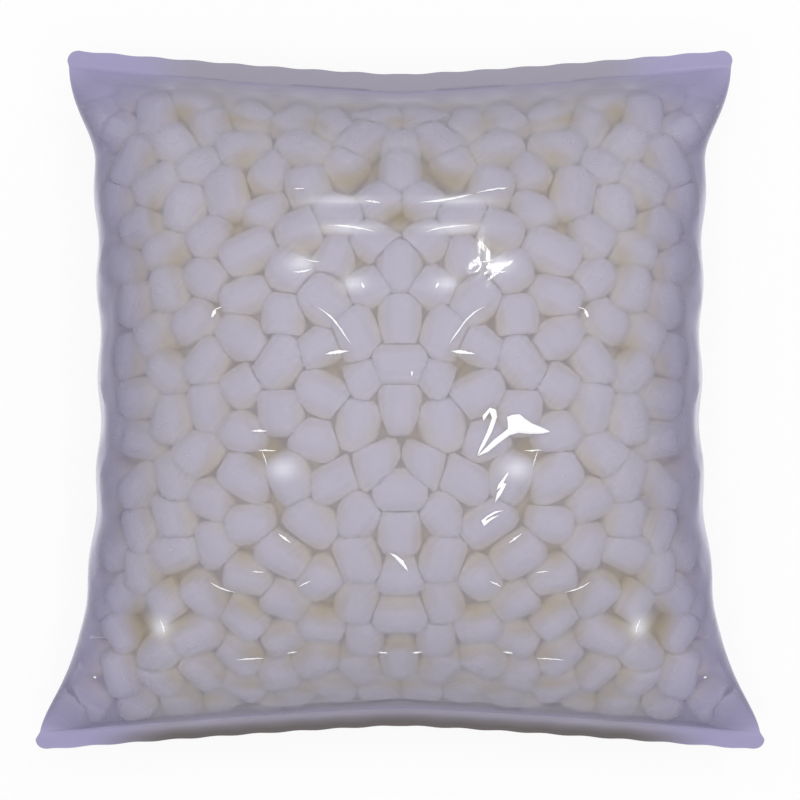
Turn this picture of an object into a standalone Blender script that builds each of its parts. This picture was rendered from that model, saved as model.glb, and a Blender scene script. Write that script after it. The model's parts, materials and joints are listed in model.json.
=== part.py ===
"""A clear pillow bag of packing peanuts, lying on its back.

The bag is a tube of film with a heat seal at each end. X runs across the bag, Y runs
from the bottom seal to the top seal, and Z is up. The origin is on the floor under the
middle of the bag. All sizes are in metres.
"""

import math
import random

import bmesh
import bpy
import numpy as np
from mathutils import Matrix, Vector
from mathutils.bvhtree import BVHTree

# Bag
bag_length = 0.385
bottom_seal_width = 0.400
top_seal_width = 0.365
waist_width = 0.330
crown_height = 0.150
seal_height = 0.062
seal_band = 0.010
seal_bow = 0.0135
seal_bow_power = 1.2
section_power = 2.5
profile_power = 2.4
profile_fullness = 0.72
film_thickness = 0.0001
floor_press = 0.008
ear_length = 0.062
ear_rise = 0.050
ear_flare = 0.011
gather_height = 0.0020
gather_pitch = 0.042
gather_reach = 0.060
gather_start = 0.25
gather_edge_power = 4
side_wave = 0.0010
side_wave_pitch = 0.050
side_wave_power = 4
seal_pull_power = 3

# Vent holes in the back film
vent_diameter = 0.006
vent_spacing = 0.120
vent_from_seal = 0.045

# Peanuts
peanut_diameter = 0.0215
peanut_lengths = (0.0235, 0.0255, 0.0275)
peanut_edge = 0.0030
peanut_pitch = 0.0238
core_depth = 0.0105
clearance = 0.0003

# How the peanuts are laid out
covered_share = 0.76
lean = 0.15
closest_share = 0.86
neighbour_share = 1.3
push_share = 0.4
settling_steps = 70
axis_tries = 8
crosswise_share = 0.7
layer_steps = 3
seating_steps = 8
lowest_rise = -0.7
loose_pairs = 28
layout_seed = 11

# How fine the faceted surfaces are
film_columns = 16
film_rows = 18
core_columns = 14
core_rows = 12
peanut_sides = 8
lump_sides = 6
vent_sides = 12
probe_cuts = 3
level = film_thickness / 100
welded = film_thickness / 100

half_length = bag_length / 2
body_half_length = half_length - seal_band


def smooth_step(value):
    """Rises from 0 to 1 with level ends."""
    value = min(max(value, 0.0), 1.0)
    return value * value * (3 - 2 * value)


def half_width(y):
    """Half the bag's width at a place along it: a waist, a spread and an ear."""
    seal_width = bottom_seal_width if y < 0 else top_seal_width
    spread = (seal_width - waist_width) / 2 - ear_flare
    share = abs(y) / half_length
    ear = smooth_step((abs(y) - half_length + ear_length) / ear_rise)
    wave = side_wave * math.sin(2 * math.pi * y / side_wave_pitch) * (1 - share**side_wave_power)
    return waist_width / 2 + spread * share**2 + ear_flare * ear + wave


def skin_point(across, along, face, inset=0.0, gap=0.0, side=half_width):
    """A point on the bag's skin, or on a smaller skin inside it.

    across runs from -1 to 1 over the width. along runs from -1 to 1 over the body, and
    past that over the seal bands. face is 1 for the front and -1 for the back. inset
    makes the skin smaller all round, gap lifts it off the plane of the seals, and side
    gives half its width along Y.
    """
    y = along * (body_half_length - inset)
    x = across * (side(y) - inset)
    fullness = 0.0
    gather = 0.0
    if abs(along) < 1:
        section = math.sqrt(1 - abs(across) ** section_power)
        fullness = section * (1 - abs(along) ** profile_power) ** profile_fullness
        from_seal = (1 - abs(along)) * body_half_length / gather_reach
        fade = smooth_step(from_seal / gather_start) * smooth_step(2 - from_seal)
        fade *= 1 - abs(across) ** gather_edge_power
        gather = gather_height * math.cos(2 * math.pi * x / gather_pitch) * fade
    if face > 0:
        z = seal_height + gap + (crown_height - seal_height - gap - inset) * fullness
    else:
        z = seal_height - gap - (seal_height - gap - inset + floor_press) * fullness
    z = max(z + gather, inset) if face < 0 else z + gather
    pull = seal_bow * (1 - abs(across) ** seal_bow_power) * min(abs(along), 1) ** seal_pull_power
    return Vector((x, y - math.copysign(pull, along), z))


def sheet(mesh, columns, stations, face, inset, gap, side=half_width):
    """One side of a skin: a grid pulled into shape. Returns its rim."""
    rows = len(stations) - 1
    made = bmesh.ops.create_grid(mesh, x_segments=columns, y_segments=rows, size=1)
    verts = made["verts"]
    for vert in verts:
        across = math.sin(vert.co.x * math.pi / 2)
        station = stations[round((vert.co.y + 1) / 2 * rows)]
        vert.co = skin_point(across, station, face, inset, gap, side)
    faces = list({one for vert in verts for one in vert.link_faces})
    rim = [one for one in {edge for vert in verts for edge in vert.link_edges} if one.is_boundary]
    made = bmesh.ops.triangulate(mesh, faces=faces, quad_method="FIXED")
    if face < 0:
        bmesh.ops.reverse_faces(mesh, faces=made["faces"])
    return rim


def body_stations(rows):
    """Places along the body, closer together towards the seals."""
    return [math.sin((row / rows - 0.5) * math.pi) for row in range(rows + 1)]


def closed_skin(columns, rows, inset, side=half_width):
    """A closed skin whose front and back meet along the rim.

    A corner triangle with all its corners on the rim has no depth, so it is left out.
    """
    mesh = bmesh.new()
    for face in (1, -1):
        sheet(mesh, columns, body_stations(rows), face, inset, 0.0, side)
    flat = [
        face
        for face in mesh.faces
        if all(abs(vert.co.z - seal_height) < level for vert in face.verts)
    ]
    bmesh.ops.delete(mesh, geom=flat, context="FACES")
    bmesh.ops.remove_doubles(mesh, verts=mesh.verts, dist=welded)
    return mesh


def outer_skin():
    """The bag's outside: the body with a flat seal band at each end."""
    band_end = half_length / body_half_length
    stations = [-band_end, *body_stations(film_rows), band_end]
    mesh = bmesh.new()
    rim = sheet(mesh, film_columns, stations, 1, 0.0, film_thickness)
    wall = bmesh.ops.extrude_edge_only(mesh, edges=rim)["geom"]
    wall = [one for one in wall if isinstance(one, bmesh.types.BMVert)]
    bmesh.ops.translate(mesh, verts=wall, vec=(0, 0, -2 * film_thickness))
    sheet(mesh, film_columns, stations, -1, 0.0, film_thickness)
    bmesh.ops.remove_doubles(mesh, verts=mesh.verts, dist=welded)
    bmesh.ops.recalc_face_normals(mesh, faces=mesh.faces)
    return mesh


def new_collection(name):
    """A collection in the scene."""
    made = bpy.data.collections.new(name)
    bpy.context.scene.collection.children.link(made)
    return made


def new_object(name, mesh, collection, material=None):
    """An object made from a bmesh, which this uses up."""
    data = bpy.data.meshes.new(name)
    mesh.to_mesh(data)
    mesh.free()
    made = bpy.data.objects.new(name, data)
    collection.objects.link(made)
    if material:
        data.materials.append(material)
    else:
        made.hide_render = True
        made.display_type = "WIRE"
    return made


def boolean(target, operation, cutter, solver="EXACT"):
    """Adds a Boolean with an object, or with every object of a collection."""
    modifier = target.modifiers.new(operation.title(), "BOOLEAN")
    modifier.operation = operation
    modifier.solver = solver
    if isinstance(cutter, bpy.types.Collection):
        modifier.operand_type = "COLLECTION"
        modifier.collection = cutter
    else:
        modifier.object = cutter


def plain_material(name, colour, roughness, alpha=1.0):
    """A Principled surface of one colour."""
    material = bpy.data.materials.new(name)
    material.use_nodes = True
    shader = material.node_tree.nodes["Principled BSDF"]
    shader.inputs["Base Color"].default_value = (*colour, 1)
    shader.inputs["Roughness"].default_value = roughness
    shader.inputs["Metallic"].default_value = 0.0
    shader.inputs["Alpha"].default_value = alpha
    material.diffuse_color = (*colour, alpha)
    return material


def film_bag(parts, material):
    """The bag: a tube of film sealed at both ends, with vent holes in its back."""
    bag = new_object("film_bag", outer_skin(), parts, material)
    cutters = new_collection("bag_cutters")
    new_object("hollow", closed_skin(film_columns, film_rows, film_thickness), cutters)
    y = body_half_length - vent_from_seal
    for x in (-vent_spacing / 2, vent_spacing / 2):
        mesh = bmesh.new()
        bmesh.ops.create_cone(
            mesh,
            cap_ends=True,
            segments=vent_sides,
            radius1=vent_diameter / 2,
            radius2=vent_diameter / 2,
            depth=vent_diameter * 2,
        )
        skin = skin_point(x / half_width(y), y / body_half_length, -1)
        bmesh.ops.translate(mesh, verts=mesh.verts, vec=skin)
        new_object("vent", mesh, cutters)
    boolean(bag, "DIFFERENCE", cutters)


def peanut_mesh(length, sides, grown=0.0, edge=0.0):
    """A short cylinder along Z, grown all round and with its end edges cut off if asked."""
    mesh = bmesh.new()
    bmesh.ops.create_cone(
        mesh,
        cap_ends=True,
        segments=sides,
        radius1=peanut_diameter / 2 + grown,
        radius2=peanut_diameter / 2 + grown,
        depth=length + 2 * grown,
    )
    if edge:
        rims = [one for one in mesh.edges if abs(one.verts[0].co.z - one.verts[1].co.z) < length / 2]
        bmesh.ops.bevel(mesh, geom=rims, offset=edge, segments=1, affect="EDGES")
    return mesh


def lump_mesh(length):
    """A peanut that is part of the heap."""
    return peanut_mesh(length, lump_sides)


def loose_mesh(length):
    """A peanut that lies free."""
    return peanut_mesh(length, peanut_sides, edge=peanut_edge)


def on_layer(skin, point):
    """The nearest place for a peanut's centre in the layer under the film."""
    for _ in range(layer_steps):
        near, normal, _, _ = skin.find_nearest(point)
        point = near - normal * (peanut_diameter / 2 + clearance)
    if point.x < peanut_pitch / 4:
        point.x = 0.0
    else:
        point.x = max(point.x, peanut_pitch / 2)
    return point


def outer_layer(skin, area, draw):
    """Centres of the outer peanuts on the right half, spread evenly under the film.

    The left half is its mirror image. A centre on the mirror plane is its own image.
    """
    centres = []
    for index in range(int(covered_share * area / (peanut_pitch**2 * math.sqrt(0.75)))):
        face = 1 if index % 2 else -1
        drawn = skin_point(draw.random(), draw.uniform(-1, 1), face)
        centres.append(on_layer(skin, drawn))
    centres = np.array(centres)
    touching = peanut_pitch / 100
    for _ in range(settling_steps):
        everyone = np.vstack((centres, centres * (-1, 1, 1)))
        away = centres[:, None] - everyone[None]
        distance = np.linalg.norm(away, axis=2)
        short = np.clip(peanut_pitch - distance, 0, None)
        short[distance < touching] = 0
        push = away * (short / np.maximum(distance, touching))[..., None]
        centres = centres + push.sum(axis=1) * push_share
        centres = np.array([on_layer(skin, Vector(point)) for point in centres])
    kept = []
    for point in map(Vector, centres):
        room = skin.find_nearest(point)[3]
        apart = min(((other - point).length for other in kept), default=1.0)
        if room > peanut_diameter / 2 and apart > peanut_pitch * closest_share:
            kept.append(point)
    return kept


def probes(shape):
    """Points all over a shape, close enough together to find where it meets the film."""
    bmesh.ops.subdivide_edges(shape, edges=shape.edges, cuts=probe_cuts, use_grid_fill=True)
    points = [vert.co.copy() for vert in shape.verts]
    shape.free()
    return points


def reach_out(skin, points, place):
    """How far the point nearest to the film stands out of it. Negative is inside."""
    worst = -1.0
    for point in points:
        point = place @ point
        near, normal, _, _ = skin.find_nearest(point)
        worst = max(worst, (point - near).dot(normal))
    return worst


def seated(skin, points, place, outward):
    """A peanut slid along outward until it is a clearance inside the film.

    Returns nothing where the bag is too thin to hold it.
    """
    for _ in range(seating_steps):
        reach = reach_out(skin, points, place) + clearance
        place = Matrix.Translation(-outward * reach) @ place
    return place if reach < clearance / 2 else None


def spread_pairs(pairs):
    """The numbers of the loose pairs, each next one the farthest from those before.

    pairs holds the two mirrored centres of each pair that may be loose.
    """
    gaps = {number: (one - other).length for number, (one, other) in pairs.items()}
    chosen = []
    while len(chosen) < min(loose_pairs, len(pairs)):
        number = max(gaps, key=gaps.get)
        chosen.append(number)
        del gaps[number]
        for other in gaps:
            near = min((a - b).length for a in pairs[number] for b in pairs[other])
            gaps[other] = min(gaps[other], near)
    return chosen


def free_axis(draw, centre, outward, centres):
    """An axis nearly along the film that points between the neighbours, best of a few."""
    near = [other - centre for other in centres]
    near = [way for way in near if 0 < way.length < peanut_pitch * neighbour_share]
    best = None
    for _ in range(axis_tries):
        axis = Matrix.Rotation(draw.uniform(0, math.tau), 3, outward) @ outward.orthogonal()
        axis = (axis.normalized() + outward * draw.gauss(0, lean)).normalized()
        crowding = sum((axis.dot(way) / way.length_squared) ** 2 for way in near)
        if best is None or crowding < best[0]:
            best = (crowding, axis)
    return best[1]


def laid_peanuts(skin, area):
    """The outer layer's right half, as (length, outward direction, place)."""
    draw = random.Random(layout_seed)
    laid = []
    centres = outer_layer(skin, area, draw)
    everyone = centres + [point * Vector((-1, 1, 1)) for point in centres]
    for centre in centres:
        length = draw.choice(peanut_lengths)
        _, outward, _, _ = skin.find_nearest(centre)
        axis = free_axis(draw, centre, outward, everyone)
        if centre.x == 0:
            outward = Vector((0, outward.y, outward.z)).normalized()
            sideways = Vector((1, 0, 0))
            axis = sideways if abs(axis.x) > crosswise_share else outward.cross(sideways)
        turned = axis.to_track_quat("Z", "Y").to_matrix().to_4x4()
        laid.append((length, outward, Matrix.Translation(centre) @ turned))
    return laid


def both_sides(outward, place):
    """A peanut's outward direction and place, and those of its mirror image if it has one."""
    if place.translation.x < peanut_pitch / 4:
        return [(outward, place)]
    flip = Matrix.Scale(-1, 4, (1, 0, 0))
    return [(outward, place), (flip @ outward, flip @ place @ flip)]


def settled_peanuts():
    """The loose peanuts and the heap's lumps, each as (length, place).

    Both come from the front and the sides. The peanuts that the bag lies on are left to
    the heap's own smooth underside.
    """
    mesh = closed_skin(film_columns, film_rows, film_thickness)
    skin = BVHTree.FromBMesh(mesh)
    half_area = sum(face.calc_area() for face in mesh.faces) / 2
    mesh.free()
    front = [one for one in laid_peanuts(skin, half_area) if one[1].z > lowest_rise]
    loose_probes = {length: probes(loose_mesh(length)) for length in peanut_lengths}
    lump_probes = {length: probes(lump_mesh(length)) for length in peanut_lengths}
    pairs = {}
    for number, (length, outward, place) in enumerate(front):
        sides = both_sides(outward, place)
        places = [seated(skin, loose_probes[length], spot, way) for way, spot in sides]
        if len(places) == 2 and all(places):
            pairs[number] = places
    centres = {number: [place.translation for place in pair] for number, pair in pairs.items()}
    chosen = spread_pairs(centres)
    loose = [(front[number][0], place) for number in chosen for place in pairs[number]]
    lumps = []
    for number, (length, outward, place) in enumerate(front):
        if number in chosen:
            continue
        for way, spot in both_sides(outward, place):
            spot = seated(skin, lump_probes[length], spot, way)
            if spot:
                lumps.append((length, spot))
    return loose, lumps


def largest_body(mesh):
    """Removes every shell of a mesh but the one with the most faces."""
    left = set(mesh.faces)
    shells = []
    while left:
        shell = {left.pop()}
        edge_of_shell = list(shell)
        while edge_of_shell:
            face = edge_of_shell.pop()
            for edge in face.edges:
                for other in edge.link_faces:
                    if other in left:
                        left.remove(other)
                        shell.add(other)
                        edge_of_shell.append(other)
        shells.append(shell)
    keep = max(shells, key=len)
    spare = [face for face in mesh.faces if face not in keep]
    bmesh.ops.delete(mesh, geom=spare, context="FACES")


def peanut_heap(parts, loose, lumps, material):
    """The peanuts that lie packed together, with a socket round each loose one.

    Their core is as wide as the bag's waist all along, so that it leaves the ears empty.
    """
    core = closed_skin(core_columns, core_rows, core_depth, lambda y: waist_width / 2)
    heap = new_object("peanut_heap", core, parts, material)
    heap_lumps = new_collection("heap_lumps")
    for length, place in lumps:
        new_object("lump", lump_mesh(length), heap_lumps).matrix_world = place
    sockets = new_collection("heap_sockets")
    for length, place in loose:
        shape = peanut_mesh(length, peanut_sides, grown=clearance)
        new_object("socket", shape, sockets).matrix_world = place
    boolean(heap, "UNION", heap_lumps)
    boolean(heap, "DIFFERENCE", sockets, "MANIFOLD")
    bpy.context.view_layer.update()
    shaped = heap.evaluated_get(bpy.context.evaluated_depsgraph_get())
    mesh = bmesh.new()
    mesh.from_mesh(shaped.data)
    heap.modifiers.clear()
    bmesh.ops.remove_doubles(mesh, verts=mesh.verts, dist=welded)
    largest_body(mesh)
    mesh.to_mesh(heap.data)
    mesh.free()


def loose_peanuts(parts, loose, material):
    """The peanuts that lie free under the front film."""
    for number, (length, place) in enumerate(loose, start=1):
        one = new_object(f"peanut_{number:02d}", loose_mesh(length), parts, material)
        one.matrix_world = place


def main():
    for one in list(bpy.data.objects):
        bpy.data.objects.remove(one)
    parts = new_collection("packing_peanut_bag")
    film = plain_material("clear_film", (0.62, 0.60, 0.72), 0.12, 0.25)
    foam = plain_material("white_foam", (0.80, 0.79, 0.80), 0.65)
    film_bag(parts, film)
    loose, lumps = settled_peanuts()
    peanut_heap(parts, loose, lumps, foam)
    loose_peanuts(parts, loose, foam)


main()
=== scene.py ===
import json
import math
import random

import bmesh
import bpy
import numpy as np
from mathutils import Matrix, Vector
from mathutils.bvhtree import BVHTree

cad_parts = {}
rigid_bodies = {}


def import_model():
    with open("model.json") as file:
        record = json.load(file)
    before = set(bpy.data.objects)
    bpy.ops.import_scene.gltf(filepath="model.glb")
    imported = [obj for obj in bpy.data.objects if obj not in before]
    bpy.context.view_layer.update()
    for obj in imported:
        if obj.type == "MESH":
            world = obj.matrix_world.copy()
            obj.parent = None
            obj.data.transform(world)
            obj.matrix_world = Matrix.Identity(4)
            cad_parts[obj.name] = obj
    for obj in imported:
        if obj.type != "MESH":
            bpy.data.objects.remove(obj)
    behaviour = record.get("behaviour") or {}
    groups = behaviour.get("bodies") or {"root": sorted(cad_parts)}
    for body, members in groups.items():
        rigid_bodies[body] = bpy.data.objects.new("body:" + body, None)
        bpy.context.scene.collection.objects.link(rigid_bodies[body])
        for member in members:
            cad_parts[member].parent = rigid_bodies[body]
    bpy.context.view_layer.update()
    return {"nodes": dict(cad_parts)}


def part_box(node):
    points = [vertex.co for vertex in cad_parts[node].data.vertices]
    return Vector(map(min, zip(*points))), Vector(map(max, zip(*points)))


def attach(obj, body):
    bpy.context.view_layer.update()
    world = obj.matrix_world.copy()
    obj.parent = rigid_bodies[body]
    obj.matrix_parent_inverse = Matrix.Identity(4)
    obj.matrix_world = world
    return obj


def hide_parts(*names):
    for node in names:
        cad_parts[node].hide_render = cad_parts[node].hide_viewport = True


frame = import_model()
print("frame loaded")

# the bag's form, the same as in the CAD, in metres
bagForm = {
    "length": 0.385,
    "bottomSealWidth": 0.400,
    "topSealWidth": 0.365,
    "waistWidth": 0.330,
    "crownHeight": 0.150,
    "sealHeight": 0.062,
    "sealBand": 0.010,
    "sealBow": 0.0135,
    "sealBowPower": 1.2,
    "sealPullPower": 3,
    "sectionPower": 2.5,
    "profilePower": 2.4,
    "profileFullness": 0.72,
    "filmThickness": 0.0001,
    "floorPress": 0.008,
    "earLength": 0.062,
    "earRise": 0.050,
    "earFlare": 0.011,
    "gatherHeight": 0.0020,
    "gatherPitch": 0.042,
    "gatherReach": 0.060,
    "gatherStart": 0.25,
    "gatherEdgePower": 4,
    "sideWave": 0.0010,
    "sideWavePitch": 0.050,
    "sideWavePower": 4,
}
welded = 1e-6  # points closer than this are one
tiny = 1e-12  # the least that is divided by
halfLength = bagForm["length"] / 2
bodyHalfLength = halfLength - bagForm["sealBand"]

# how the CAD lays out its peanuts, repeated here so that each lies in the same place
peanutLayout = {
    "diameter": 0.0215,
    "lengths": (0.0235, 0.0255, 0.0275),
    "pitch": 0.0238,
    "clearance": 0.0003,
    "coveredShare": 0.76,
    "lean": 0.15,
    "closestShare": 0.86,
    "neighbourShare": 1.3,
    "pushShare": 0.4,
    "settlingSteps": 70,
    "layerSteps": 3,
    "crosswiseShare": 0.7,
    "axisTries": 8,
    "seed": 11,
    "skinColumns": 16,
    "skinRows": 18,
}


def smoothStep(value):
    value = np.clip(value, 0.0, 1.0)
    return value * value * (3 - 2 * value)


def halfWidth(y):  # half the bag's width: a waist, a spread and an ear at each end
    form = bagForm
    sealWidth = np.where(y < 0, form["bottomSealWidth"], form["topSealWidth"])
    spread = (sealWidth - form["waistWidth"]) / 2 - form["earFlare"]
    share = np.abs(y) / halfLength
    ear = smoothStep((np.abs(y) - halfLength + form["earLength"]) / form["earRise"])
    fade = 1 - share ** form["sideWavePower"]
    wave = form["sideWave"] * np.sin(2 * np.pi * y / form["sideWavePitch"]) * fade
    return form["waistWidth"] / 2 + spread * share**2 + form["earFlare"] * ear + wave


def skinPoints(across, along, face, inset=0.0, gap=0.0):  # places on the bag's skin
    form = bagForm
    y = along * (bodyHalfLength - inset)
    x = across * (halfWidth(y) - inset)
    inBody = np.abs(along) < 1
    end = np.minimum(np.abs(along), 1)
    section = np.sqrt(np.clip(1 - np.abs(across) ** form["sectionPower"], 0, 1))
    fullness = section * (1 - end ** form["profilePower"]) ** form["profileFullness"]
    fromSeal = (1 - end) * bodyHalfLength / form["gatherReach"]
    edge = 1 - np.abs(across) ** form["gatherEdgePower"]
    fade = smoothStep(fromSeal / form["gatherStart"]) * smoothStep(2 - fromSeal) * edge
    gather = form["gatherHeight"] * np.cos(2 * np.pi * x / form["gatherPitch"]) * fade * inBody
    if face > 0:
        rise = form["crownHeight"] - form["sealHeight"] - gap - inset
        z = form["sealHeight"] + gap + rise * fullness + gather
    else:
        drop = form["sealHeight"] - gap - inset + form["floorPress"]
        z = np.maximum(form["sealHeight"] - gap - drop * fullness + gather, inset)
    pull = form["sealBow"] * (1 - np.abs(across) ** form["sealBowPower"])
    pull = pull * end ** form["sealPullPower"]
    return np.stack((x, y - np.copysign(pull, along), z), axis=-1)


def deselectAll():
    for each in bpy.context.view_layer.objects:
        each.select_set(False)


def makeActive(obj):
    deselectAll()
    obj.select_set(True)
    bpy.context.view_layer.objects.active = obj


def coordinates(mesh):  # vertex places as an array
    places = np.empty(len(mesh.vertices) * 3)
    mesh.vertices.foreach_get("co", places)
    return places.reshape(-1, 3)


def setCoordinates(mesh, places):
    mesh.vertices.foreach_set("co", places.reshape(-1))
    mesh.update()


def setAttribute(mesh, name, values):  # one number for each vertex, read by the material
    layer = mesh.attributes.get(name) or mesh.attributes.new(name, "FLOAT", "POINT")
    layer.data.foreach_set("value", np.asarray(values, dtype=np.float32))


def treeOf(obj):
    shape = bmesh.new()
    shape.from_mesh(obj.data)
    tree = BVHTree.FromBMesh(shape)
    shape.free()
    return tree


def bodyStations(rows):
    return np.sin((np.arange(rows + 1) / rows - 0.5) * np.pi)


def joinAll(objects, name):
    makeActive(objects[0])
    for each in objects:
        each.select_set(True)
    bpy.ops.object.join()
    joined = bpy.context.object
    joined.name = joined.data.name = name
    return joined


def joinSheets(sheets, name):  # one skin from a front and a back sheet
    joined = joinAll(sheets, name)
    bpy.ops.object.mode_set(mode="EDIT")
    bpy.ops.mesh.select_all(action="SELECT")
    bpy.ops.mesh.remove_doubles(threshold=welded)
    bpy.ops.object.mode_set(mode="OBJECT")
    return joined


def cadSkin():  # the CAD's own inner skin, with its facets, that its peanuts lie under
    layout = peanutLayout
    shape = bmesh.new()
    columns, rows = layout["skinColumns"], layout["skinRows"]
    stations = bodyStations(rows)
    for face in (1, -1):
        made = bmesh.ops.create_grid(shape, x_segments=columns, y_segments=rows, size=1)
        for vert in made["verts"]:
            across = math.sin(vert.co.x * math.pi / 2)
            station = stations[round((vert.co.y + 1) / 2 * rows)]
            place = skinPoints(np.array([across]), np.array([station]), face, bagForm["filmThickness"])
            vert.co = place[0]
        faces = list({one for vert in made["verts"] for one in vert.link_faces})
        cut = bmesh.ops.triangulate(shape, faces=faces, quad_method="FIXED")
        if face < 0:
            bmesh.ops.reverse_faces(shape, faces=cut["faces"])
    bmesh.ops.remove_doubles(shape, verts=shape.verts, dist=welded)
    tree = BVHTree.FromBMesh(shape)
    area = sum(face.calc_area() for face in shape.faces) / 2
    shape.free()
    return tree, area


def onLayer(skin, point, depth):  # the nearest place for a centre at a depth under the film
    pitch = peanutLayout["pitch"]
    for _ in range(peanutLayout["layerSteps"]):
        near, normal, _, _ = skin.find_nearest(point)
        point = near - normal * depth
    point.x = 0.0 if point.x < pitch / 4 else max(point.x, pitch / 2)  # in the middle or clear of it
    return point


def spreadCentres(skin, area, draw, depth, room):  # one layer of peanuts, right half only
    layout = peanutLayout
    pitch = layout["pitch"]
    centres = []
    for index in range(int(layout["coveredShare"] * area / (pitch**2 * math.sqrt(0.75)))):
        face = 1 if index % 2 else -1
        across = draw.random()
        along = draw.uniform(-1, 1)
        drawn = skinPoints(np.array([across]), np.array([along]), face)[0]
        centres.append(onLayer(skin, Vector(drawn), depth))
    centres = np.array(centres)
    touching = pitch / 100
    for _ in range(layout["settlingSteps"]):
        everyone = np.vstack((centres, centres * (-1, 1, 1)))
        away = centres[:, None] - everyone[None]
        distance = np.linalg.norm(away, axis=2)
        short = np.clip(pitch - distance, 0, None)
        short[distance < touching] = 0
        push = away * (short / np.maximum(distance, touching))[..., None]
        centres = centres + push.sum(axis=1) * layout["pushShare"]
        centres = np.array([onLayer(skin, Vector(point), depth) for point in centres])
    kept = []
    for point in map(Vector, centres):
        reach = skin.find_nearest(point)[3]
        apart = min(((other - point).length for other in kept), default=1.0)
        if reach > room and apart > pitch * layout["closestShare"]:
            kept.append(point)
    return kept


def freeAxis(draw, centre, outward, centres):  # points between the neighbours
    layout = peanutLayout
    near = [other - centre for other in centres]
    near = [way for way in near if 0 < way.length < layout["pitch"] * layout["neighbourShare"]]
    best = None
    for _ in range(layout["axisTries"]):
        axis = Matrix.Rotation(draw.uniform(0, math.tau), 3, outward) @ outward.orthogonal()
        axis = (axis.normalized() + outward * draw.gauss(0, layout["lean"])).normalized()
        crowding = sum((axis.dot(way) / way.length_squared) ** 2 for way in near)
        if best is None or crowding < best[0]:
            best = (crowding, axis)
    return best[1]


def laidPeanuts(skin, centres, draw):  # (length, centre, axis) on both sides of the mirror plane
    laid = []
    everyone = centres + [point * Vector((-1, 1, 1)) for point in centres]
    for centre in centres:
        length = draw.choice(peanutLayout["lengths"])
        _, outward, _, _ = skin.find_nearest(centre)
        axis = freeAxis(draw, centre, outward, everyone)
        if centre.x == 0:
            outward = Vector((0, outward.y, outward.z)).normalized()
            sideways = Vector((1, 0, 0))
            crosswise = abs(axis.x) > peanutLayout["crosswiseShare"]
            axis = sideways if crosswise else outward.cross(sideways)
        laid.append((length, centre, axis))
        if centre.x > 0:
            flip = Vector((-1, 1, 1))
            laid.append((length, centre * flip, axis * flip))
    return laid


# one peanut's form, before it is pressed against the others
peanutForm = {
    "sides": 12,
    "edgeRadius": 0.0050,
    "edgeSegments": 2,
    "capLevel": 0.99,
    "capInset": 0.0035,
    "waistCuts": (-0.003, 0.003),
    "sizeSpread": 0.035,
    "bendSpread": 0.0010,
    "ovalSpread": 0.05,
    "swell": 1.13,
    "looseSwell": 1.04,
    "looseReach": (-0.115, -0.060),
    "pressGap": 0.00004,
    "pressReach": 0.038,
}

# the layers under the film: how deep the centres lie, and how many passes press them
layers = {
    "secondDepth": 0.0285,
    "secondSpread": 1.05,
    "secondRoom": 0.8,
    "secondSeed": 23,
    "coreInset": 0.040,
    "coreCells": 24,
    "pressPasses": 3,
}


def addPeanutShape(length):  # the master that every peanut of this length is copied from
    form = peanutForm
    radius = peanutLayout["diameter"] / 2
    deselectAll()
    bpy.ops.mesh.primitive_cylinder_add(vertices=form["sides"], radius=radius, depth=length)
    master = bpy.context.object
    bpy.ops.object.mode_set(mode="EDIT")
    shape = bmesh.from_edit_mesh(master.data)
    for edge in shape.edges:
        edge.select_set(abs(edge.verts[0].co.z - edge.verts[1].co.z) < length / 2)
    bmesh.update_edit_mesh(master.data)
    bpy.ops.mesh.bevel(offset=form["edgeRadius"], segments=form["edgeSegments"], profile=0.5)
    for cut in form["waistCuts"]:
        bpy.ops.mesh.select_all(action="SELECT")
        bpy.ops.mesh.bisect(plane_co=(0, 0, cut), plane_no=(0, 0, 1))
    bpy.ops.mesh.select_mode(type="FACE")
    bpy.ops.mesh.select_all(action="DESELECT")
    shape = bmesh.from_edit_mesh(master.data)
    for face in shape.faces:
        face.select_set(abs(face.normal.z) > form["capLevel"])
    bmesh.update_edit_mesh(master.data)
    bpy.ops.mesh.inset(thickness=form["capInset"])
    bpy.ops.mesh.select_all(action="DESELECT")
    bpy.ops.object.mode_set(mode="OBJECT")
    return master


def placedPoints(points, centre, axis, draw):  # a copy's vertices, each a little out of true
    form = peanutForm
    low, high = form["looseReach"]
    packed = float(smoothStep((centre[1] - low) / (high - low)))
    swell = form["looseSwell"] + (form["swell"] - form["looseSwell"]) * packed
    size = swell + draw.uniform(-1, 1) * form["sizeSpread"]
    oval = 1 + draw.uniform(-1, 1) * form["ovalSpread"]
    bend = draw.uniform(-1, 1) * form["bendSpread"]
    turn = Matrix.Rotation(draw.uniform(0, math.tau), 3, "Z")
    turned = Vector(axis).to_track_quat("Z", "Y").to_matrix() @ turn
    shaped = points * (size * oval, size / oval, size)
    along = shaped[:, 2] / np.abs(shaped[:, 2]).max()
    shaped[:, 0] += bend * (1 - along**2) - bend / 2
    return shaped @ np.array(turned).T + np.array(centre)


def pressTogether(shapes, centres):  # flattens each peanut where it meets a neighbour
    form = peanutForm
    centres = np.array(centres)
    for _ in range(layers["pressPasses"]):
        for index, points in enumerate(shapes):
            away = centres - centres[index]
            distance = np.linalg.norm(away, axis=1)
            for other in np.nonzero((distance > 0) & (distance < form["pressReach"]))[0]:
                normal = away[other] / distance[other]
                reach = (points - centres[index]) @ normal
                theirs = (shapes[other] - centres[other]) @ -normal
                overlap = reach.max() + theirs.max() - distance[other]
                if overlap <= 0:
                    continue
                limit = reach.max() - overlap / 2 - form["pressGap"]
                points -= np.clip(reach - limit, 0, None)[:, None] * normal


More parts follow.
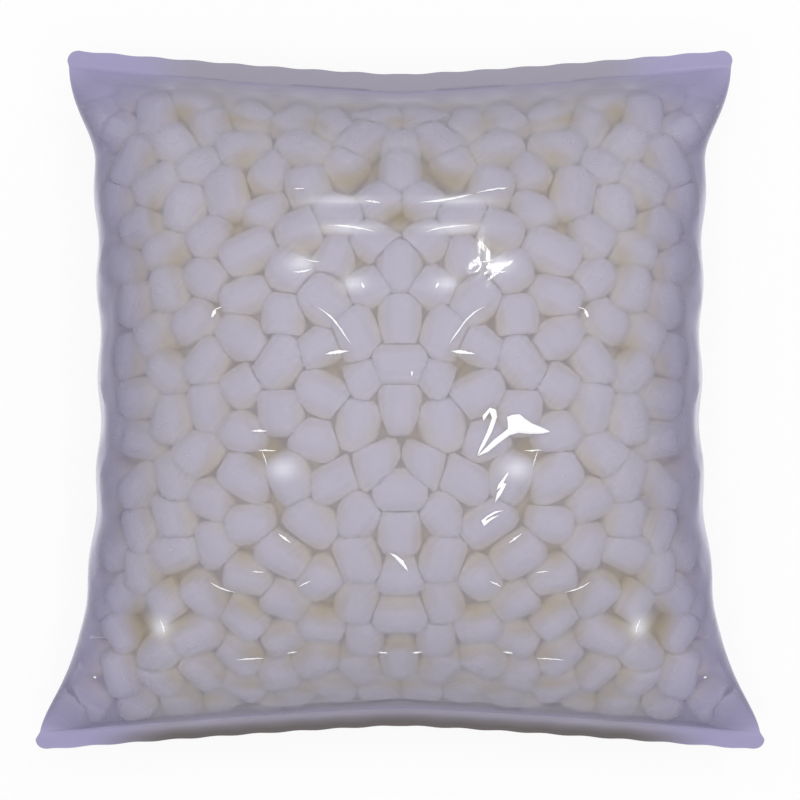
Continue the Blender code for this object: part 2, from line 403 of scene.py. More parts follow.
def pressInsideRim(shapes, clearance):  # keeps every vertex inside the bag's outline
    form = bagForm
    for points in shapes:
        sides = halfWidth(points[:, 1])
        across = np.clip(np.abs(points[:, 0]) / sides, 0, 1)
        pull = form["sealBow"] * (1 - across ** form["sealBowPower"])
        points[:, 0] = np.clip(points[:, 0], clearance - sides, sides - clearance)
        ends = bodyHalfLength - pull - clearance
        points[:, 1] = np.clip(points[:, 1], -ends, ends)


def pressUnderFilm(tree, shapes, clearance):  # keeps every vertex inside the film
    for points in shapes:
        for index, point in enumerate(points):
            near, normal, _, _ = tree.find_nearest(Vector(point))
            out = (Vector(point) - near).dot(normal) + clearance
            if out > 0:
                points[index] -= np.array(normal) * out


def copyOf(master, name, points, depths):  # a peanut as an object of its own
    made = master.copy()
    made.data = master.data.copy()
    made.name = made.data.name = name
    bpy.context.collection.objects.link(made)
    setCoordinates(made.data, points)
    setAttribute(made.data, "depth", depths)
    return made


print("laying out the peanuts")
skin, halfArea = cadSkin()
draw = random.Random(peanutLayout["seed"])
radius = peanutLayout["diameter"] / 2
outerCentres = spreadCentres(skin, halfArea, draw, radius + peanutLayout["clearance"], radius)
outerLaid = laidPeanuts(skin, outerCentres, draw)
draw = random.Random(layers["secondSeed"])
secondDepth = layers["secondDepth"]
secondArea = halfArea * ((1 - 2 * secondDepth / bagForm["crownHeight"]) * layers["secondSpread"])
secondCentres = spreadCentres(skin, secondArea, draw, secondDepth, secondDepth * layers["secondRoom"])
secondLaid = laidPeanuts(skin, secondCentres, draw)

looseNames = [name for name in frame["nodes"] if name.startswith("peanut_") and name != "peanut_heap"]
nodeOf = {}
for name in sorted(looseNames):
    low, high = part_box(name)
    middle = (low + high) / 2
    free = [index for index in range(len(outerLaid)) if index not in nodeOf]
    index = min(free, key=lambda one: (outerLaid[one][1] - middle).length)
    nodeOf[index] = name
    outerLaid[index] = (outerLaid[index][0], middle, outerLaid[index][2])

# more peanuts, squeezed in along the rim and where the layer leaves a hole
fillForm = {
    "seed": 31,
    "tries": 2600,
    "holeApart": 0.0172,
    "rimInset": 0.0110,
    "rimPoints": 40,
    "rimApart": 0.0165,
}


def rimCandidates():  # places along the seals and the sides, halfway between the films
    count = fillForm["rimPoints"]
    share = np.arange(count + 1) / count
    ends = np.ones(count + 1)
    inset = fillForm["rimInset"]
    sides = skinPoints(ends, 2 * share - 1, 1, inset)
    seals = [skinPoints(share, end * ends, 1, inset) for end in (1, -1)]
    return np.vstack((sides, *seals))


def layerCandidates(draw):
    places = []
    for _ in range(fillForm["tries"]):
        face = draw.choice((1, -1))
        drawn = skinPoints(np.array([draw.random()]), np.array([draw.uniform(-1, 1)]), face)[0]
        places.append(onLayer(skin, Vector(drawn), radius + peanutLayout["clearance"]))
    return np.array(places)


def squeezedCentres(candidates, taken, apart):  # the roomiest candidates first, till none is left
    candidates = candidates.copy()
    candidates[candidates[:, 0] < peanutLayout["pitch"] / 4, 0] = 0.0
    gaps = np.linalg.norm(candidates[:, None] - np.array(taken)[None], axis=2).min(axis=1)
    found = []
    while gaps.max() > apart:
        chosen = candidates[gaps.argmax()]
        found.append(Vector(chosen))
        for image in (chosen, chosen * (-1, 1, 1)):
            gaps = np.minimum(gaps, np.linalg.norm(candidates - image, axis=1))
    return found


draw = random.Random(fillForm["seed"])
taken = [tuple(centre) for _, centre, _ in outerLaid]
rimCentres = squeezedCentres(rimCandidates(), taken, fillForm["rimApart"])
taken += [(side * centre.x, centre.y, centre.z) for centre in rimCentres for side in (1, -1)]
holeCentres = squeezedCentres(layerCandidates(draw), taken, fillForm["holeApart"])
fillLaid = laidPeanuts(skin, rimCentres + holeCentres, draw)
print("peanuts", len(outerLaid), len(fillLaid), len(secondLaid))

print("shaping the peanuts")
masters = {length: addPeanutShape(length) for length in peanutLayout["lengths"]}
masterPoints = {length: coordinates(master.data) for length, master in masters.items()}
masterFaces = {}
for length, master in masters.items():
    masterFaces[length] = [face.vertices[:] for face in master.data.polygons]
allLaid = outerLaid + fillLaid + secondLaid
draw = random.Random(peanutLayout["seed"])
shapes = [placedPoints(masterPoints[length], centre, axis, draw) for length, centre, axis in allLaid]
pressTogether(shapes, [centre for _, centre, _ in allLaid])

# the film, and how it lies over the peanuts
filmForm = {
    "columns": 190,
    "rows": 196,
    "bandRows": 4,
    "plyGap": 0.0001,
    "cornerRadius": 0.007,
    "cornerShare": 0.9,
    "edgeWave": 0.0006,
    "edgeWavePitch": 0.045,
    "sag": 18.0,
    "smoothSteps": 12,
    "pressIn": 0.0005,
    "deepest": 0.0045,
    "thinShare": 0.4,
    "relaxSteps": 500,
    "closestPoints": 0.00001,
    "castFrom": 0.004,
    "offPeanuts": 0.0002,
    "bridged": 0.0060,
    "bridgeBlur": 3,
    "bridgeRoom": 0.020,
    "gapReach": (0.0050, 0.0095),
    "gapBlur": 4,
    "gapRoom": 0.030,
    "wrinkleCount": 46,
    "wrinkleSeed": 5,
    "wrinkleLength": (0.012, 0.034),
    "wrinkleHeight": (0.0001, 0.0004),
    "wrinkleWidth": 0.0022,
    "wrinkleFade": 0.004,
    "wrinkleArea": (0.15, 0.17),
    "wrinkleTurn": 0.6,
    "wrinkleTaper": 3,
    "wrinkleEnds": 0.6,
    "sideWrinkles": (
        (0.1466, 0.0919, 0.1565, 0.0732),
        (0.1592, 0.0897, 0.1647, 0.0677),
        (0.1521, 0.0677, 0.1631, 0.0605),
        (0.1500, 0.1100, 0.1640, 0.1010),
        (0.1636, 0.0094, 0.1609, 0.0000),
        (0.1560, -0.0250, 0.1630, -0.0420),
        (0.1600, -0.0850, 0.1680, -0.1000),
    ),
    "sideWrinkleHeight": 0.0008,
    "underFilm": 0.0006,
    "insideRim": 0.0010,
    "crispAngle": 60.0,
    "lift": 0.0004,
    "ventDiameter": 0.006,
    "ventSpacing": 0.120,
    "ventFromSeal": 0.045,
}


def aroundEach(values):  # the mean of the four neighbours of each inner value
    return (values[1:-1, :-2] + values[1:-1, 2:] + values[:-2, 1:-1] + values[2:, 1:-1]) / 4


def setOnSheet(mesh, order, name, values):  # rows by columns to the sheet's own vertex order
    spread = np.empty(order.size)
    spread[order] = values
    setAttribute(mesh, name, spread)


def gridOrder(flat, columns, rows):  # vertex numbers of a sheet as rows by columns
    column = np.round((flat[:, 0] + 1) / 2 * columns).astype(int)
    row = np.round((flat[:, 1] + 1) / 2 * rows).astype(int)
    return np.argsort(row * (columns + 1) + column).reshape(rows + 1, columns + 1)


def roundedBand(places, along):  # rounds the ears and waves the cut edge
    form = filmForm
    end = halfLength / bodyHalfLength
    intoBand = np.clip((np.abs(along) - 1) / (end - 1), 0, 1)
    radius = form["cornerRadius"]
    corner = np.clip(np.abs(places[..., 0]) - halfWidth(places[..., 1]) + radius, 0, radius)
    lost = radius - np.sqrt(radius**2 - corner**2)
    wave = form["edgeWave"] * np.sin(2 * np.pi * places[..., 0] / form["edgeWavePitch"]) ** 2
    places[..., 1] -= np.sign(along) * (lost * form["cornerShare"] + wave) * intoBand
    return places


def addSheet(face, columns, stations, inset, gap):  # one side of a skin: a grid pulled to its form
    deselectAll()
    rows = len(stations) - 1
    bpy.ops.mesh.primitive_grid_add(x_subdivisions=columns, y_subdivisions=rows, size=2)
    sheet = bpy.context.object
    flat = coordinates(sheet.data)
    order = gridOrder(flat, columns, rows)
    across = np.sin(flat[order][..., 0] * np.pi / 2)
    along = np.broadcast_to(stations[:, None], across.shape)
    rim = (np.abs(across) > 1 - welded) | (np.abs(along) >= np.abs(stations).max())
    smooth = skinPoints(across, along, face, inset, np.where(rim, 0.0, gap))
    places = np.empty_like(flat)
    places[order] = smooth
    setCoordinates(sheet.data, places)
    if face < 0:
        sheet.data.flip_normals()
    return sheet, order, smooth, along


def outwardOf(smooth, face):  # unit normals of a sheet from its neighbours' places
    down = np.gradient(smooth, axis=0)
    over = np.gradient(smooth, axis=1)
    normal = np.cross(over, down)
    normal /= np.maximum(np.linalg.norm(normal, axis=-1, keepdims=True), tiny)
    return normal * face


# the film's tones: clear over the peanuts, milky at the seals and ears, tinted to the sides; painted
# light, shade and sheens
hazeForm = {
    "sideReach": 0.010,
    "sideShare": 0.16,
    "topReach": (0.009, 0.028),
    "bottomReach": (0.006, 0.014),
    "earReach": (0.034, 0.042),
    "earShare": 1.5,
    # painted shade: the back film is milky and dark near the bottom
    "paintedBackShadeReach": (0.030, 0.060),
    # painted light: a lighter line where the film meets the bottom seal
    "seamReach": (0.0008, 0.0035),
    "seamPaintedLightShare": 0.15,
    # painted sheens: soft whitish blobs on the front film, each a centre, a length and a width
    "paintedSheens": (
        ((0.0240, 0.0605), 0.0070, 0.0040),
        ((0.0520, 0.0712), 0.0075, 0.0050),
        ((0.0257, 0.0900), 0.0150, 0.0026),
        ((0.0300, 0.1050), 0.0170, 0.0026),
        ((0.0607, -0.0360), 0.0075, 0.0055),
        ((0.1280, -0.1210), 0.0060, 0.0070),
    ),
    # painted light: steep film is coloured lighter, less so towards the ends
    "steepFrom": 0.25,
    "endSteep": 0.65,
    "blueSide": (0.004, 0.040),
    "blueEar": (0.030, 0.075),
    # painted shadow along the bottom, where the bag turns under
    "shadeReach": (0.0025, 0.0095),
    "shadeWidth": (0.12, 0.18),
}


def fadeOut(value, ends):  # 1 up to the first end, 0 from the second
    return 1 - smoothStep((value - ends[0]) / (ends[1] - ends[0]))


def filmTones(smooth, along, face):  # the film's milkiness and tints, with painted light, painted shade and painted sheens
    form = hazeForm
    x = np.abs(smooth[..., 0])
    fromSide = np.clip(halfWidth(smooth[..., 1]) - x, 0, None)
    fromEnd = halfLength - np.abs(along) * bodyHalfLength
    side = form["sideShare"] * (1 - fromSide / form["sideReach"])
    end = np.where(along > 0, fadeOut(fromEnd, form["topReach"]), fadeOut(fromEnd, form["bottomReach"]))
    earReach = np.where(along > 0, form["earReach"][1], form["earReach"][0])
    fromCorner = np.hypot(fromSide, fromEnd)
    ear = form["earShare"] * (1 - fromCorner / earReach)
    haze = np.clip(np.maximum.reduce((side, end, ear)), 0, 1)
    # painted shade: near the bottom the back film is made milky in the dark seal tone, so the floor under
    # the bag does not show through
    if face < 0:
        haze = np.maximum(haze, fadeOut(fromEnd, form["paintedBackShadeReach"]) * (along < 0))
    # painted shadow: a dark band along the bottom edge, where the bag turns under
    shade = fadeOut(fromEnd, form["shadeReach"]) * fadeOut(x, form["shadeWidth"]) * (along < 0)
    outward = outwardOf(smooth, 1)
    # painted light: the film is coloured lighter where it is steep and so less lit, and along the bottom
    # seam
    steepPaintedLight = smoothStep((1 - np.abs(outward[..., 2]) - form["steepFrom"]) / (1 - form["steepFrom"]))
    sidePart = outward[..., 0] ** 2
    endPart = outward[..., 1] ** 2
    sideways = sidePart / np.maximum(sidePart + endPart, tiny)
    steepPaintedLight *= form["endSteep"] + (1 - form["endSteep"]) * sideways
    seam = fadeOut(np.abs(fromEnd - bagForm["sealBand"]), form["seamReach"])
    steepPaintedLight = np.maximum(steepPaintedLight, form["seamPaintedLightShare"] * seam * (along < 0))
    blue = np.maximum(fadeOut(fromSide, form["blueSide"]), fadeOut(fromCorner, form["blueEar"]))
    # painted sheens: whiter, less clear blobs on the front film
    paintedSheen = np.zeros_like(haze)
    for centre, length, width in form["paintedSheens"] if face > 0 else ():
        across = (x - centre[0]) / length
        down = (smooth[..., 1] - centre[1]) / width
        paintedSheen = np.maximum(paintedSheen, np.exp(-(across**2) - down**2))
    return {"haze": haze, "shade": shade, "steepPaintedLight": steepPaintedLight, "blue": blue, "paintedSheen": paintedSheen}


def filmSheet(face):
    form = filmForm
    bandEnd = halfLength / bodyHalfLength
    band = 1 + (bandEnd - 1) * np.arange(1, form["bandRows"] + 1) / form["bandRows"]
    stations = np.concatenate((-band[::-1], bodyStations(form["rows"]), band))
    made, order, smooth, along = addSheet(face, form["columns"], stations, 0.0, form["plyGap"])
    smooth = roundedBand(smooth, along)
    for name, values in filmTones(smooth, along, face).items():
        setOnSheet(made.data, order, name, values)
    return {"object": made, "face": face, "order": order, "smooth": smooth}


def wrinkleHeights(smooth, line, height):  # a ridge along a line, zero away from it
    form = filmForm
    x1, y1, x2, y2 = line
    start = np.array((x1, y1))
    way = np.array((x2, y2)) - start
    length = np.linalg.norm(way)
    way /= length
    offset = smooth[..., :2] - start
    run = offset @ way / length
    side = offset @ np.array((-way[1], way[0]))
    taper, start = form["wrinkleTaper"], form["wrinkleEnds"]
    ends = smoothStep(run * taper + start) * smoothStep((1 - run) * taper + start)
    return height * ends * np.exp(-np.abs(side) / form["wrinkleWidth"])


def drawnWrinkles(face):  # short wrinkles scattered over one side
    form = filmForm
    draw = random.Random(form["wrinkleSeed"] + face)
    widest, furthest = form["wrinkleArea"]
    for _ in range(form["wrinkleCount"]):
        x = draw.uniform(0.0, widest)
        y = draw.uniform(-furthest, furthest)
        towards = math.atan2(-y, -x) + draw.gauss(0, form["wrinkleTurn"])
        length = draw.uniform(*form["wrinkleLength"])
        line = (x, y, x + math.cos(towards) * length, y + math.sin(towards) * length)
        yield line, draw.uniform(*form["wrinkleHeight"])
    for line in form["sideWrinkles"]:
        yield line, form["sideWrinkleHeight"]


def pullOf(smooth, axis):  # how firmly the neighbours along an axis hold a point: the nearer the firmer
    apart = np.linalg.norm(np.gradient(smooth, axis=axis), axis=-1)
    return 1 / np.maximum(apart, filmForm["closestPoints"])[1:-1, 1:-1] ** 2


def drapeSheet(sheet, peanutTree):  # stretches a sheet over the peanuts
    form = filmForm
    order, smooth, face = sheet["order"], sheet["smooth"], sheet["face"]
    outward = outwardOf(smooth, face)
    room = np.abs(smooth[..., 2] - bagForm["sealHeight"])
    depth = np.minimum(form["deepest"], room * form["thinShare"])
    reach = form["castFrom"] + form["gapReach"][1]
    below = np.full_like(depth, form["gapReach"][1])
    for row in range(1, depth.shape[0] - 1):
        for column in range(1, depth.shape[1] - 1):
            start = smooth[row, column] + outward[row, column] * form["castFrom"]
            hit = peanutTree.ray_cast(Vector(start), Vector(-outward[row, column]), reach)
            if hit[0] is not None:
                free = max(hit[3] - form["castFrom"] - form["offPeanuts"], -form["lift"])
                depth[row, column] = min(depth[row, column], free)
                below[row, column] = free
    overPull, downPull = pullOf(smooth, 1), pullOf(smooth, 0)
    middle = (slice(1, -1), slice(1, -1))
    sag = np.zeros_like(depth)
    for _ in range(form["relaxSteps"]):
        across = (sag[1:-1, :-2] + sag[1:-1, 2:]) * overPull
        along = (sag[:-2, 1:-1] + sag[2:, 1:-1]) * downPull
        mean = (across + along + form["sag"]) / (2 * overPull + 2 * downPull)
        sag[middle] = np.minimum(mean, depth[middle])
    for _ in range(form["smoothSteps"]):
        sag[middle] = np.minimum(aroundEach(sag), depth[middle] + form["pressIn"])
    wrinkle = np.zeros_like(sag)
    for line, height in drawnWrinkles(face):
        mirrored = (-line[0], line[1], -line[2], line[3])
        wrinkle += wrinkleHeights(smooth, line, height) + wrinkleHeights(smooth, mirrored, height)
    wrinkle *= smoothStep(room / form["wrinkleFade"])
    # painted shade: the film is tinted brown and made less clear where a deep gap lies below it
    gap = smoothStep((below - form["gapReach"][0]) / (form["gapReach"][1] - form["gapReach"][0]))
    gap *= smoothStep(room / form["gapRoom"])
    # where the film stands off the peanuts it is milkier and lighter: partly the film's own haze, partly
    # painted light over the shade of the gaps
    bridge = smoothStep((below - sag) / form["bridged"]) * (1 - gap)
    bridge *= smoothStep(room / form["bridgeRoom"])
    for name, values, blurs in (("bridge", bridge, form["bridgeBlur"]), ("gap", gap, form["gapBlur"])):
        for _ in range(blurs):
            values[middle] = aroundEach(values)
        setOnSheet(sheet["object"].data, order, name, values)
    places = np.empty((order.size, 3))
    places[order] = smooth - outward * (sag - wrinkle)[..., None]
    if face < 0:
        places[:, 2] = np.maximum(places[:, 2], 0.0)
    setCoordinates(sheet["object"].data, places)


def cutVents(sheet):  # two round vent holes in the back film
    form = filmForm
    radius = form["ventDiameter"] / 2
    makeActive(sheet)
    shape = bmesh.new()
    shape.from_mesh(sheet.data)
    for side in (-1, 1):
        centre = Vector((side * form["ventSpacing"] / 2, bodyHalfLength - form["ventFromSeal"]))
        near = [face for face in shape.faces if (face.calc_center_median().xy - centre).length < radius]
        bmesh.ops.delete(shape, geom=near, context="FACES")
        for vert in shape.verts:
            if vert.is_boundary and (vert.co.xy - centre).length < radius * 2:
                vert.co.xy = centre + (vert.co.xy - centre).normalized() * radius
    shape.to_mesh(sheet.data)
    shape.free()


def treeOfPeanuts():
    places = []
    corners = []
    for (length, _, _), points in zip(allLaid, shapes):
        corners += [[len(places) + corner for corner in face] for face in masterFaces[length]]
        places += [Vector(point) for point in points]
    return BVHTree.FromPolygons(places, corners)


print("draping the film")
sheets = [filmSheet(face) for face in (1, -1)]
pressInsideRim(shapes, filmForm["insideRim"])
for sheet in sheets:
    pressUnderFilm(treeOf(sheet["object"]), shapes, filmForm["underFilm"])
peanutTree = treeOfPeanuts()
for sheet in sheets:
    drapeSheet(sheet, peanutTree)
filmTrees = [treeOf(sheet["object"]) for sheet in sheets]
for tree in filmTrees:
    pressUnderFilm(tree, shapes, filmForm["underFilm"])
cutVents(sheets[1]["object"])
film = joinSheets([sheet["object"] for sheet in sheets], "clearFilm")

packed = []
deeper = []
loosePeanuts = []
for index, points in enumerate(shapes):
    depths = [min(tree.find_nearest(Vector(point))[3] for tree in filmTrees) for point in points]
    node = nodeOf.get(index)
    name = "loosePeanut_" + node.split("_")[1] if node else "packed"
    made = copyOf(masters[allLaid[index][0]], name, points, depths)
    if node:
        loosePeanuts.append((made, node))
    elif index < len(outerLaid) + len(fillLaid):
        packed.append(made)
    else:
        deeper.append(made)
for master in masters.values():
    bpy.data.objects.remove(master)
packedPeanuts = joinAll(packed, "packedPeanuts")
deeperPeanuts = joinAll(deeper, "deeperPeanuts")
allPeanuts = [made for made, _ in loosePeanuts] + [packedPeanuts, deeperPeanuts]


def addCore():  # the peanuts too deep to see, as one plain form
    size = layers["coreCells"]
    sheets = [addSheet(face, size, bodyStations(size), layers["coreInset"], 0.0)[0] for face in (1, -1)]
    core = joinSheets(sheets, "heapCore")
    # its depth gives the core the brown painted shade of the deep gaps
    setAttribute(core.data, "depth", np.full(len(core.data.vertices), layers["coreInset"]))
    return core


heapCore = addCore()

# folds and flat patches of film, coloured near white as painted highlights: each fold's points and its
# width, and each patch's outline
foldForm = {
    "sides": 6,
    "cuts": 11,
    "heightShare": 0.35,
    "seed": 3,
    "tipShare": 0.06,
    "lookAhead": 0.01,
    "widthSpread": 0.35,
    "sway": 0.00012,
    "patchCuts": 2,
    "patchLift": 0.00015,
    "patchThickness": 0.0001,
    "mirrored": (
        ((-0.0560, 0.1112), (-0.0500, 0.1112), 0.0008),
        ((-0.0382, 0.0912), (-0.0255, 0.0905), (-0.0130, 0.0876), 0.0011),
        ((-0.0557, 0.0667), (-0.0510, 0.0668), (-0.0459, 0.0680), 0.0012),
        ((-0.0494, 0.0733), (-0.0450, 0.0722), (-0.0410, 0.0719), 0.0007),
        ((-0.0200, 0.0610), (-0.0186, 0.0579), 0.0018),
        ((-0.0985, 0.0431), (-0.0964, 0.0474), 0.0022),
        ((-0.0972, 0.0471), (-0.0929, 0.0487), 0.0006),
        ((-0.0445, 0.0487), (-0.0367, 0.0438), (-0.0298, 0.0354), (-0.0249, 0.0284), 0.0010),
        ((-0.0389, 0.0238), (-0.0325, 0.0248), (-0.0262, 0.0253), 0.0020),
        ((-0.0740, -0.0260), (-0.0690, -0.0262), (-0.0641, -0.0263), 0.0008),
        ((-0.0718, -0.0263), (-0.0700, -0.0310), (-0.0690, -0.0348), 0.0006),
        ((-0.0634, -0.0695), (-0.0600, -0.0722), (-0.0567, -0.0745), 0.0013),
        ((-0.0531, -0.0979), (-0.0498, -0.0960), (-0.0465, -0.0946), 0.0008),
        ((-0.0779, -0.0897), (-0.0745, -0.0900), (-0.0712, -0.0904), 0.0007),
        ((-0.1004, -0.0957), (-0.0943, -0.0990), (-0.0866, -0.1012), 0.0008),
        ((-0.1279, -0.1166), (-0.1262, -0.1210), (-0.1257, -0.1249), 0.0012),
        ((-0.0877, -0.1386), (-0.0795, -0.1378), (-0.0718, -0.1375), 0.0009),
        ((-0.0602, -0.1348), (-0.0547, -0.1337), 0.0011),
        ((-0.0118, -0.1337), (-0.0063, -0.1342), 0.0010),
        ((-0.1664, -0.1502), (-0.1645, -0.1505), 0.0014),
    ),
    "patches": (
        (
            (0.0465, -0.0039), (0.0498, -0.0050), (0.0503, -0.0088), (0.0476, -0.0165), (0.0437, -0.0237),
            (0.0399, -0.0292), (0.0410, -0.0253), (0.0448, -0.0171), (0.0476, -0.0094), (0.0465, -0.0061),
            (0.0432, -0.0110), (0.0426, -0.0083),
        ),
        (
            (0.0553, -0.0088), (0.0580, -0.0077), (0.0619, -0.0072), (0.0646, -0.0094), (0.0685, -0.0121),
            (0.0740, -0.0143), (0.0784, -0.0165), (0.0734, -0.0176), (0.0668, -0.0176), (0.0613, -0.0171),
            (0.0569, -0.0182), (0.0509, -0.0226), (0.0454, -0.0270), (0.0399, -0.0292), (0.0443, -0.0248),
            (0.0487, -0.0204), (0.0531, -0.0171), (0.0558, -0.0149), (0.0558, -0.0116),
        ),
        (
            (0.0560, -0.0371), (0.0564, -0.0380), (0.0536, -0.0429), (0.0553, -0.0435), (0.0525, -0.0490),
            (0.0492, -0.0534), (0.0503, -0.0484), (0.0525, -0.0451), (0.0501, -0.0467), (0.0509, -0.0440),
        ),
        (
            (0.0539, -0.0572), (0.0492, -0.0578), (0.0454, -0.0600), (0.0421, -0.0627), (0.0437, -0.0657),
            (0.0470, -0.0627), (0.0517, -0.0597), (0.0476, -0.0608), (0.0443, -0.0630), (0.0454, -0.0613),
            (0.0492, -0.0591),
        ),
    ),
    "single": (
        ((-0.0185, 0.1045), (-0.0145, 0.1040), (-0.0101, 0.1032), 0.0013),
        ((0.0102, 0.1034), (0.0240, 0.1052), (0.0390, 0.1081), 0.0013),
        ((0.0400, 0.1085), (0.0480, 0.1105), (0.0572, 0.1119), 0.0008),
        ((0.0061, 0.0152), (0.0061, 0.0122), 0.0013),
        ((-0.0774, -0.0161), (-0.0732, -0.0160), (-0.0690, -0.0161), 0.0014),
        ((-0.0052, -0.0796), (-0.0003, -0.0832), (0.0042, -0.0895), 0.0026),
    ),
}


def alongFold(points, share):  # a point of the smooth curve through a fold's points
    points = np.array(points)
    lengths = np.concatenate(([0.0], np.cumsum(np.linalg.norm(np.diff(points, axis=0), axis=1))))
    lengths /= lengths[-1]
    fit = [np.polyfit(lengths, points[:, axis], len(points) - 1) for axis in (0, 1)]
    return np.stack([np.polyval(one, share) for one in fit], axis=-1)


def topOfFilm(place):  # where the front film lies over a place
    above = Vector((place[0], place[1], bagForm["crownHeight"] * 2))
    return frontTree.ray_cast(above, Vector((0, 0, -1)))[0].z


def addPatch(points):  # a painted highlight: an outline filled in and laid on the film
    form = foldForm
    deselectAll()
    bpy.ops.mesh.primitive_circle_add(vertices=len(points), radius=1, fill_type="NGON")
    patch = bpy.context.object
    outline = np.array(points)
    ahead = np.roll(outline, -1, axis=0)
    turned = np.sum(outline[:, 0] * ahead[:, 1] - outline[:, 1] * ahead[:, 0])
    outline = outline if turned > 0 else outline[::-1]
    local = coordinates(patch.data)
    local[:, :2] = outline
    setCoordinates(patch.data, local)
    bpy.ops.object.mode_set(mode="EDIT")
    bpy.ops.mesh.select_all(action="SELECT")
    bpy.ops.mesh.quads_convert_to_tris()
    bpy.ops.mesh.subdivide(number_cuts=form["patchCuts"])
    bpy.ops.object.mode_set(mode="OBJECT")
    places = coordinates(patch.data)
    places[:, 2] = [topOfFilm(place) + form["patchLift"] for place in places]
    setCoordinates(patch.data, places)
    makeActive(patch)
    solid = patch.modifiers.new("thickness", "SOLIDIFY")
    solid.thickness = form["patchThickness"]
    solid.offset = 1
    bpy.ops.object.modifier_apply(modifier=solid.name)
    return patch


def addFold(points, width, draw):  # a slender pinched ridge, tapered to both ends, lying on the film, that carries a painted highlight
    form = foldForm
    deselectAll()
    bpy.ops.mesh.primitive_cylinder_add(vertices=form["sides"], radius=1, depth=2)
    fold = bpy.context.object
    bpy.ops.object.mode_set(mode="EDIT")
    for cut in range(1, form["cuts"] + 1):
        height = 2 * cut / (form["cuts"] + 1) - 1
        bpy.ops.mesh.select_all(action="SELECT")
        bpy.ops.mesh.bisect(plane_co=(0, 0, height), plane_no=(0, 0, 1))
    bpy.ops.object.mode_set(mode="OBJECT")
    local = coordinates(fold.data)
    share = (local[:, 2] + 1) / 2
    centre = alongFold(points, share)
    look = form["lookAhead"]
    ahead = alongFold(points, share + look) - alongFold(points, share - look)
    ahead /= np.linalg.norm(ahead, axis=1, keepdims=True)
    sideways = np.stack((-ahead[:, 1], ahead[:, 0]), axis=1)
    ring = np.round(share * (form["cuts"] + 1)).astype(int)
    rings = form["cuts"] + 2
    uneven = np.array([1 + draw.uniform(-1, 1) * form["widthSpread"] for _ in range(rings)])
    sway = np.array([draw.uniform(-1, 1) * form["sway"] for _ in range(rings)])
    thick = width / 2 * np.clip(np.sin(np.pi * share), form["tipShare"], 1) * uneven[ring]
    places = np.empty_like(local)
    places[:, :2] = centre + sideways * (local[:, 0] * thick + sway[ring])[:, None]
    for index, place in enumerate(places):
        place[2] = topOfFilm(place) + local[index, 1] * thick[index] * form["heightShare"]
    setCoordinates(fold.data, places)
    makeActive(fold)
    bpy.ops.object.mode_set(mode="EDIT")
    bpy.ops.mesh.select_all(action="SELECT")
    bpy.ops.mesh.normals_make_consistent(inside=False)
    bpy.ops.object.mode_set(mode="OBJECT")
    return fold


frontTree = filmTrees[0]
draw = random.Random(foldForm["seed"])
folds = [addPatch(points) for points in foldForm["patches"]]
for *points, width in foldForm["single"] + foldForm["mirrored"]:
    folds.append(addFold(points, width, draw))
for *points, width in foldForm["mirrored"]:
    folds.append(addFold([(-x, y) for x, y in points], width, draw))
paintedHighlightFolds = joinAll(folds, "filmFoldsPaintedHighlights")

for each in allPeanuts + [heapCore, paintedHighlightFolds]:
    makeActive(each)
    bpy.ops.object.shade_smooth()
makeActive(film)
bpy.ops.object.shade_smooth_by_angle(angle=math.radians(filmForm["crispAngle"]))


class Value:  # a socket that takes part in arithmetic
    def __init__(self, tree, socket):
        self.tree = tree
        self.socket = socket

    def combine(self, operation, other, swapped=False):
        first, second = (other, self) if swapped else (self, other)
        return addNode(self.tree, "ShaderNodeMath", {"operation": operation}, {0: first, 1: second})

    def __add__(self, other):
        return self.combine("ADD", other)

    def __radd__(self, other):
        return self.combine("ADD", other, True)

    def __sub__(self, other):
        return self.combine("SUBTRACT", other)

    def __rsub__(self, other):
        return self.combine("SUBTRACT", other, True)

    def __mul__(self, other):
        return self.combine("MULTIPLY", other)

    def __rmul__(self, other):
        return self.combine("MULTIPLY", other, True)

    def atMost(self, other):
        return self.combine("MINIMUM", other)


def addNode(tree, kind, settings=None, sockets=None, output=0):
    node = tree.nodes.new(kind)
    for name, value in (settings or {}).items():
        setattr(node, name, value)
    for key, value in (sockets or {}).items():
        if isinstance(value, Value):
            tree.links.new(value.socket, node.inputs[key])
        else:
            node.inputs[key].default_value = value
    return Value(tree, node.outputs[output])


def newMaterial(name):
    material = bpy.data.materials.new(name)
    material.use_nodes = True
    tree = material.node_tree
    tree.nodes.clear()
    return material, tree


def finishMaterial(tree, shader):
    out = tree.nodes.new("ShaderNodeOutputMaterial")
    tree.links.new(shader.socket, out.inputs["Surface"])


def mixColours(tree, factor, first, second):
    sockets = {0: factor, 6: first, 7: second}
    return addNode(tree, "ShaderNodeMix", {"data_type": "RGBA"}, sockets, 2)


def noise(tree, place, scale, detail, distortion=0.0):
    sockets = {"Vector": place, "Scale": scale, "Detail": detail, "Distortion": distortion}
    return addNode(tree, "ShaderNodeTexNoise", {}, sockets)


def attribute(tree, name):  # a number that the mesh holds for each vertex
    return addNode(tree, "ShaderNodeAttribute", {"attribute_name": name}, output=2)


def within(tree, value, ends):  # 0 up to the first end, 1 from the second
    sockets = {"Value": value, "From Min": ends[0], "From Max": ends[1]}
    return addNode(tree, "ShaderNodeMapRange", {"interpolation_type": "SMOOTHSTEP"}, sockets)


